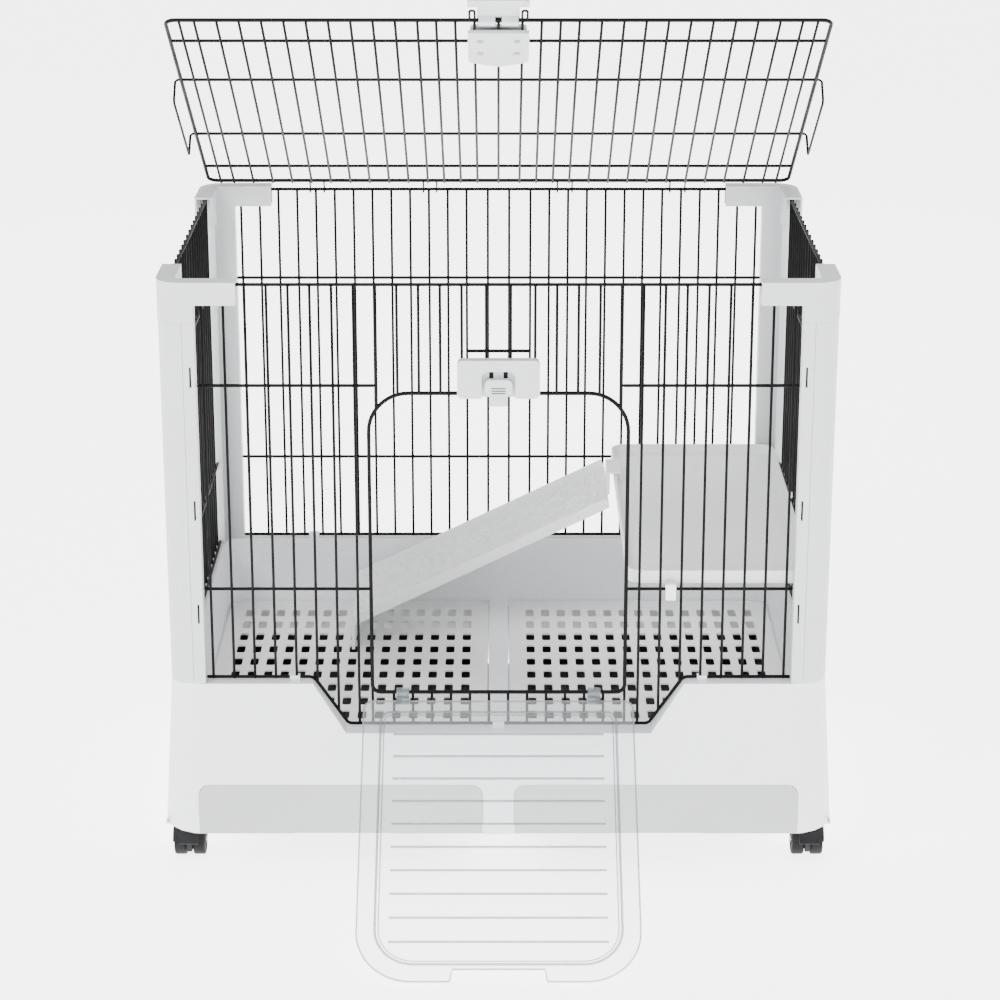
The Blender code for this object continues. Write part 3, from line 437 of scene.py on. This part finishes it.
def floor_grid(name, side):
    """A plate with fifteen columns of rounded slots, its rim and slot edges softened by a fine bevel."""
    x0, x1, y0, y1, z0, z1 = 0.0142, 0.3783, -0.2568, 0.2568, 0.1577, 0.1603
    centre_x, pitch_x, pitch_y, hx, hy = 0.1965, 0.02185, 0.0460, 0.0057, 0.0137
    xs = [centre_x + pitch_x * (k - 7) for k in range(15)]
    ys = [pitch_y * (k - 4.5) for k in range(10)]
    points, faces, index = [], [], {}

    def vertex(x, y, z):
        key = (round(x, 6), round(y, 6), z)
        if key not in index:
            index[key] = len(points)
            points.append((side * x, y, z))
        return index[key]

    def quad(*corners):
        faces.append(tuple(vertex(*c) for c in corners))

    for z in (z1, z0):
        for cx in xs:
            for cy in ys:
                hole = rounded(cx - hx, cx + hx, cy - hy, cy + hy, 0.0035, 4)
                cell = []
                for x, y in hole:
                    dx, dy = x - cx, y - cy
                    reach = min(pitch_x / 2 / abs(dx) if dx else 9e9, pitch_y / 2 / abs(dy) if dy else 9e9)
                    cell.append((cx + dx * reach, cy + dy * reach))
                corners = [(cx + sx * pitch_x / 2, cy + sy * pitch_y / 2)
                           for sx, sy in ((1, -1), (1, 1), (-1, 1), (-1, -1))]
                count = len(hole)
                for i in range(count):
                    j = (i + 1) % count
                    a, b = cell[i], cell[j]
                    extra = [c for c in corners if between(a, b, c, (cx, cy))]
                    ring = [(*hole[i], z), (*a, z)] + [(*c, z) for c in extra] + [(*b, z), (*hole[j], z)]
                    faces.append(tuple(dict.fromkeys(vertex(*p) for p in ring)))
        gx0, gx1 = xs[0] - pitch_x / 2, xs[-1] + pitch_x / 2
        gy0, gy1 = ys[0] - pitch_y / 2, ys[-1] + pitch_y / 2
        rim = rounded(x0, x1, y0, y1, 0.0195, 5)
        inner = [(gx1, gy0), (gx1, gy1), (gx0, gy1), (gx0, gy0)]
        for k in range(4):
            part = rim[k * 6:k * 6 + 6]
            faces.append(tuple([vertex(*inner[k], z)] + [vertex(*p, z) for p in part]))
            following = rim[(k * 6 + 6) % 24]
            faces.append((vertex(*inner[k], z), vertex(*part[-1], z), vertex(*following, z),
                          vertex(*inner[(k + 1) % 4], z)))
    for cx in xs:
        for cy in ys:
            hole = rounded(cx - hx, cx + hx, cy - hy, cy + hy, 0.0035, 4)
            for i in range(len(hole)):
                j = (i + 1) % len(hole)
                quad((*hole[i], z1), (*hole[j], z1), (*hole[j], z0), (*hole[i], z0))
    for i in range(len(rim)):
        j = (i + 1) % len(rim)
        quad((*rim[i], z1), (*rim[j], z1), (*rim[j], z0), (*rim[i], z0))
    shape = Shape()
    shape.points, shape.faces = points, [f for f in faces if len(f) > 2]
    item = piece(name + "_slotted", shape, GRID, "cage", replaces=[name], angle=30)
    soft = item.modifiers.new("Soft edges", "BEVEL")
    soft.width, soft.segments, soft.limit_method, soft.angle_limit = 0.0004, 1, "ANGLE", math.radians(60)


def between(a, b, c, middle):
    """Whether corner c lies between the rays to a and b, seen from the middle."""
    turn = lambda p: math.atan2(p[1] - middle[1], p[0] - middle[0])
    ta, tb, tc = turn(a), turn(b), turn(c)
    span, part = (tb - ta) % (2 * math.pi), (tc - ta) % (2 * math.pi)
    return 1e-6 < part < span - 1e-6 and span < math.pi


floor_grid("floor_grid_left", -1)
floor_grid("floor_grid_right", 1)


# ---------------------------------------------------------------- door


def on_door(u, s, w):
    return (u, -DOOR_OFFSET + w, s)


def door():
    half, low, far, corner = 0.167, 0.0075, DOOR_LENGTH, 0.101
    outline = arc(half - 0.012, low + 0.012, 0.012, 270, 360, 6)
    outline += arc(corner, far - 0.066, 0.066, 0, 90, 16)
    outline += [(0.0590, far)] + arc(0.0585, far - 0.0035, 0.0035, 90, 175, 4) + [(0.0527, far - 0.0160)]
    outline += [(-0.0527, far - 0.0160)] + arc(-0.0585, far - 0.0035, 0.0035, 5, 90, 4) + [(-0.0590, far)]
    outline += arc(-corner, far - 0.066, 0.066, 90, 180, 16) + arc(-half + 0.012, low + 0.012, 0.012, 180, 270, 6)
    sheet = Shape().prism(outline, on_door, -0.0015, 0.0015, 0.0005)
    piece("door_sheet", sheet, CLEAR, "door", DOOR, replaces=["door_panel"], angle=25)
    rim = Shape()
    edge = inset(outline, 0.0012)
    rim.tube([on_door(u, s, 0.0004) for u, s in edge], 0.0011, 6, closed=True)
    ring = arc(0.1325, 0.038, 0.012, 270, 360, 5) + arc(0.0985, 0.3275, 0.046, 0, 90, 12)
    ring += arc(-0.0985, 0.3275, 0.046, 90, 180, 12) + arc(-0.1325, 0.038, 0.012, 180, 270, 5)
    rim.tube([on_door(u, s, 0.0024) for u, s in ring], 0.0016, 8, closed=True)
    rim.tube([on_door(u, s, 0.0020) for u, s in inset(ring, 0.0042)], 0.0008, 6, closed=True)
    piece("door_raised_rims", rim, CLEAR_EDGE, "door", DOOR, angle=60)
    for k in range(10):
        s = 0.058 + 0.0318 * k
        bar = Shape()
        bar.tube([on_door(-0.1285, s, 0.0021), on_door(0.1285, s, 0.0021)], 0.0015, 8)
        piece("door_rib_%02d" % (k + 1), bar, CLEAR_EDGE, "door", DOOR, angle=60)
    for k, x in enumerate((-0.118, 0.118)):
        hook = Shape()
        jaw = arc(0, 0, 0.0054, 100, -165, 16) + arc(0, 0, 0.0032, -165, 100, 14)
        hook.rings([[(x + w, y, z) for y, z in jaw] for w in (-0.0078, -0.0070, 0.0070, 0.0078)])
        root = [(-0.0094, 0.0030), (-0.0045, 0.0030), (-0.0045, 0.0055), (-0.0068, 0.0085), (-0.0068, 0.0126),
                (-0.0094, 0.0126)]
        hook.rings([[(x + w, y, z) for y, z in root] for w in (-0.0078, 0.0078)])
        back = [(-0.0094, -0.0020), (-0.0045, -0.0035), (-0.0032, 0.0030), (-0.0050, 0.0040), (-0.0094, 0.0040)]
        hook.rings([[(x + w, y, z) for y, z in back] for w in (-0.0078, 0.0078)])
        piece("door_hinge_clip_%d" % (k + 1), hook, CLEAR_EDGE, "door", DOOR, angle=30)


door()


# ---------------------------------------------------------------- shelf, inside ramp


def shelf():
    """A shallow tray with a rolled rim; its tabs hook over the cross wires."""
    shape = Shape()
    place = lambda u, v, w: (u, v, w)
    steps = [(0.0, 0.3755), (0.0, 0.3890), (-0.0004, 0.3905), (0.0004, 0.3917), (0.0015, 0.3920), (0.0026, 0.3915),
             (0.0030, 0.3900), (0.0042, 0.3812), (0.0065, 0.3796), (0.0120, 0.3793)]
    rings = []
    for d, z in steps:
        rings.append([place(u, v, z) for u, v in
                      rounded(0.157 + max(d, 0), 0.3838 - max(d, 0), -0.262 + max(d, 0), 0.262 - max(d, 0),
                              max(0.004, 0.020 - max(d, 0)), 8)])
    shape.rings(rings)
    piece("shelf_tray", shape, SHELF, "cage", replaces=["shelf"], angle=35)
    tabs = Shape()
    for sy in (-1, 1):
        hook = [(0.2608, 0.3785), (0.2608, 0.3737), (0.2722, 0.3737), (0.2722, 0.3575), (0.2745, 0.3575),
                (0.2745, 0.3772), (0.2732, 0.3785)]
        tabs.rings([[(0.210 + w, sy * y, z) for y, z in hook] for w in (-0.0063, 0.0063)])
        side = [(0.3825, 0.3785), (0.3825, 0.3737), (0.3932, 0.3737), (0.3932, 0.3605), (0.3954, 0.3605),
                (0.3954, 0.3772), (0.3942, 0.3785)]
        tabs.rings([[(x, sy * 0.0819 + w, z) for x, z in side] for w in (-0.0058, 0.0058)])
    piece("shelf_tabs", tabs, SHELF, "cage", angle=30)


shelf()


def inside_ramp():
    """A channel with low sides and an irregular crackle of raised ridges for grip."""
    (x1, z1), (x0, z0), mid = (0.151, 0.366), (-0.196, 0.196), 0.150
    length = math.hypot(x1 - x0, z1 - z0)
    dx, dz = (x1 - x0) / length, (z1 - z0) / length
    place = lambda t, y, w: (x0 + dx * t - dz * w, mid + y, z0 + dz * t + dx * w)
    half = 0.088
    section = [(-half, 0.0004), (-half + 0.0004, 0), (half - 0.0004, 0), (half, 0.0004), (half, 0.0130),
               (half - 0.0006, 0.0139), (half - 0.0022, 0.0139), (half - 0.0028, 0.0130), (half - 0.0034, 0.0042),
               (half - 0.0055, 0.0028), (-half + 0.0055, 0.0028), (-half + 0.0034, 0.0042), (-half + 0.0028, 0.0130),
               (-half + 0.0022, 0.0139), (-half + 0.0006, 0.0139), (-half, 0.0130)]
    shape = Shape()
    shape.rings([[place(t, y, w) for y, w in section] for t in (0.0004, length - 0.0034)])
    foot = [(x0 - 0.0028, 0.1611), (x0 + 0.0013, 0.1611), (x0 + 0.0013, 0.1985), (x0 - 0.0010, 0.1988),
            (x0 - 0.0028, 0.1970)]
    shape.rings([[(x, mid + y, z) for x, z in foot] for y in (-0.0858, 0.0858)])
    hook = [(x1 - 0.0044, 0.3625), (x1 - 0.0006, 0.3645), (x1 - 0.0006, 0.3929), (x1 + 0.0130, 0.3929),
            (x1 + 0.0131, 0.3852), (x1 + 0.0149, 0.3852), (x1 + 0.0149, 0.3944), (x1 + 0.0138, 0.3954),
            (x1 - 0.0034, 0.3954), (x1 - 0.0044, 0.3944)]
    shape.rings([[(x, mid + y, z) for x, z in hook] for y in (-0.0298, 0.0298)])
    piece("ramp_channel", shape, SHELF, "ramp", replaces=["ramp"], angle=30)
    random.seed(11)
    grain = Shape()
    nt, ny = 20, 8
    t0, t1, edge = 0.010, length - 0.014, half - 0.009
    knots = {}
    for i in range(nt + 1):
        for j in range(ny + 1):
            jt, jy = random.uniform(-0.30, 0.30), random.uniform(-0.30, 0.30)
            lift = 0.5 if j % 2 else 0.0
            t = t0 + (t1 - t0) * min(1.0, max(0.0, (i + lift + jt) / (nt + 0.5)))
            y = -edge + 2 * edge * min(1.0, max(0.0, (j + (jy if 0 < j < ny else 0)) / ny))
            knots[i, j] = (t, y)
    for i in range(nt + 1):
        for j in range(ny + 1):
            links = [(i, j + 1)] + ([(i + 1, j)] if (i + j) % 2 == 0 else [])
            for other in links:
                if other not in knots:
                    continue
                (ta, ya), (tb, yb) = knots[i, j], knots[other]
                along = Vector((tb - ta, yb - ya))
                if along.length < 0.003:
                    continue
                side = Vector((-along.y, along.x)).normalized()
                ring = []
                for t, y in ((ta, ya), (tb, yb)):
                    ring.append([place(t - side.x * 0.0014, y - side.y * 0.0014, 0.0025),
                                 place(t - side.x * 0.0005, y - side.y * 0.0005, 0.0060),
                                 place(t + side.x * 0.0005, y + side.y * 0.0005, 0.0060),
                                 place(t + side.x * 0.0014, y + side.y * 0.0014, 0.0025)])
                grain.rings(ring)
    piece("ramp_grip_ridges", grain, SHELF, "ramp", angle=30)


inside_ramp()


# ---------------------------------------------------------------- casters


def caster(tag, sx, sy):
    x, y = sx * 0.391, sy * 0.245
    ay, az = y + 0.012, 0.020
    hood = Shape()
    cover = arc(0, 0, 0.0249, 14, 166, 28) + arc(0, 0, 0.0219, 166, 14, 28)
    widths = ((-0.0204, 0.0006), (-0.0198, 0.0), (0.0198, 0.0), (0.0204, 0.0006))
    hood.rings([[(x + w, ay + a, az + b) for a, b in inset(cover, d or 0.00001)] for w, d in widths])
    web = arc(0, 0, 0.0222, -25, 205, 28)
    hood.rings([[(x + w, ay + a, az + b) for a, b in web] for w in (-0.0034, 0.0034)])
    stem = [(0.0092, 0.0400), (0.0095, 0.0420), (0.0095, 0.0528), (0.0090, 0.0535), (0.0046, 0.0535), (0.0046, 0.0682),
            (0.0040, 0.0689)]
    hood.rings([[(x + r * math.cos(a), y + r * math.sin(a), h)
                 for a in [2 * math.pi * k / 28 for k in range(28)]] for r, h in stem])
    piece("caster_fork_" + tag, hood, DARK, "caster_" + tag, replaces=["caster_hood_" + tag], angle=35)
    for word, s in (("in", -sx), ("out", sx)):
        wheel = Shape()
        profile = [(0.0034, 0.0046), (0.0120, 0.0046), (0.0124, 0.0042), (0.0180, 0.0042), (0.0192, 0.0047),
                   (0.0198, 0.0057), (0.0200, 0.0068), (0.0200, 0.0170), (0.0198, 0.0180), (0.0192, 0.0189),
                   (0.0182, 0.0194), (0.0155, 0.0195), (0.0150, 0.0186), (0.0085, 0.0182), (0.0080, 0.0195),
                   (0.0034, 0.0195)]
        wheel.rings([[(x + s * h, ay + r * math.sin(a), az - r * math.cos(a))
                      for a in [2 * math.pi * k / 44 for k in range(44)]] for r, h in profile], closed=True)
        piece("caster_roller_%s_%s" % (tag, word), wheel, TYRE, "wheels_" + tag,
              replaces=["caster_wheel_%s_%s" % (tag, word)], angle=28)
    finish_node("caster_axle_" + tag, STEEL, 0.0003, 1)


for tag, sx, sy in (("fl", -1, -1), ("fr", 1, -1), ("rl", -1, 1), ("rr", 1, 1)):
    caster(tag, sx, sy)
    finish_node("post_channel_" + tag, SHELL, 0.0005, 2)
    finish_node("post_cover_" + tag, SHELL, 0.0005, 2, 50)
    finish_node("cap_" + tag, SHELL, 0.0009, 3)
for tag in ("fl", "fr"):
    finish_node("brake_lever_" + tag, DARK, 0.0006, 2)

finish_node("base_tub", WHITE, 0.0010, 2)
finish_node("tray_left", TRAY, 0.0006, 2)
finish_node("tray_right", TRAY, 0.0006, 2)
for name in ("lid_latch_plate", "lid_latch_back", "lid_latch_flap", "door_latch_housing", "door_latch_back",
             "door_latch_slider"):
    finish_node(name, SHELL, 0.0006, 2)
for k in range(4):
    finish_node("lid_latch_screw_%d" % (k + 1), STEEL, 0.0002, 1)
for k in range(2):
    finish_node("door_latch_screw_%d" % (k + 1), STEEL, 0.0002, 1)


# ---------------------------------------------------------------- small moulded details and painted shade


def trim():
    """Clips over the bottom wires, and painted shade for the latch windows, the grip lines and the posts' slots."""
    clips = Shape()
    for x in (-0.2505, 0.2505):
        clips.box(x - 0.0060, x + 0.0060, -0.2745, -0.2655, BOTTOM_Z - 0.0042, BOTTOM_Z + 0.0027)
    clips.box(-0.0070, 0.0070, -0.2745, -0.2655, DIP_Z - 0.0062, DIP_Z + 0.0027)
    for x in (-0.2607, -0.0290, 0.2607):
        clips.box(x - 0.0070, x + 0.0070, 0.2655, 0.2745, BOTTOM_Z - 0.0042, BOTTOM_Z + 0.0027)
    piece("rim_wire_clips", clips, WHITE, "cage", angle=30)
    # painted shade: dark lines on the slider's grip
    grip = Shape()
    for z in (0.6242, 0.6272, 0.6302):
        grip.tube([(-0.0085, -0.29005, z), (0.0085, -0.29005, z)], 0.0006, 6)
    piece("slider_grip_line_shade", grip, PAINTED_SHADE, "door_slider", angle=60)
    # painted shade: dark sheets in the latch housing's windows
    windows = Shape()
    for x in (-0.0085, 0.0085):
        shape = [(x + 0.0026, 0.6405), (x + 0.0026, 0.6482), (x - 0.0026, 0.6482), (x - 0.0026, 0.6405)]
        windows.rings([[(u, w, v) for u, v in shape] for w in (-0.28075, -0.2803)])
    piece("housing_window_shade", windows, PAINTED_SHADE, "cage", angle=30)
    # painted shade: dark boxes in the posts' slots
    slot_shade = Shape()
    for sx in (-1, 1):
        for z in (0.343, 0.4755, 0.642):
            for sy in (-1, 1):
                xs = sorted((sx * 0.36405, sx * 0.36645))
                ys = sorted((sy * 0.2781, sy * 0.2789))
                slot_shade.box(*xs, *ys, z - 0.0124, z + 0.0124, 0.0001)
    piece("post_slot_shadows", slot_shade, PAINTED_SHADE, "cage", angle=30)


trim()


# ---------------------------------------------------------------- studio


def studio():
    floor = bpy.data.meshes.new("studio_floor")
    floor.from_pydata([(-30, -30, 0), (30, -30, 0), (30, 30, 0), (-30, 30, 0)], [], [(0, 1, 2, 3)])
    item = bpy.data.objects.new("studio_floor", floor)
    bpy.context.scene.collection.objects.link(item)
    made, _, shader = nodes_of("studio_paper")
    shader.inputs["Base Color"].default_value = (0.96, 0.96, 0.96, 1)
    shader.inputs["Emission Color"].default_value = (1, 1, 1, 1)
    shader.inputs["Emission Strength"].default_value = 4.2
    shader.inputs["Roughness"].default_value = 0.9
    floor.materials.append(made)

    world = bpy.context.scene.world or bpy.data.worlds.new("studio")
    bpy.context.scene.world = world
    world.use_nodes = True
    world.node_tree.nodes["Background"].inputs["Color"].default_value = (1, 1, 1, 1)
    world.node_tree.nodes["Background"].inputs["Strength"].default_value = 0.85

    for name, place, aim, size, power in (
            ("key", (-2.2, -2.6, 3.2), (0, 0, 0.4), 1.6, 130),
            ("fill", (2.8, -1.8, 2.0), (0, 0, 0.4), 2.2, 30),
            ("back", (0.4, 2.8, 3.0), (0, 0.2, 0.5), 2.2, 60)):
        lamp = bpy.data.lights.new(name, "AREA")
        lamp.shape, lamp.size, lamp.energy = "SQUARE", size, power
        light = bpy.data.objects.new(name, lamp)
        light.location = place
        light.rotation_euler = (Vector(aim) - Vector(place)).to_track_quat("-Z", "Y").to_euler()
        bpy.context.scene.collection.objects.link(light)

    view = bpy.data.cameras.new("view")
    view.lens, view.sensor_width = 100.39, 36.0
    view.shift_x, view.shift_y = 0.0015, 0.0023
    camera = bpy.data.objects.new("view", view)
    camera.location = (0, -3.4646 + CAGE_Y, 1.5411)
    camera.rotation_euler = (math.radians(71.66), 0, 0)
    bpy.context.scene.collection.objects.link(camera)
    bpy.context.scene.camera = camera


studio()
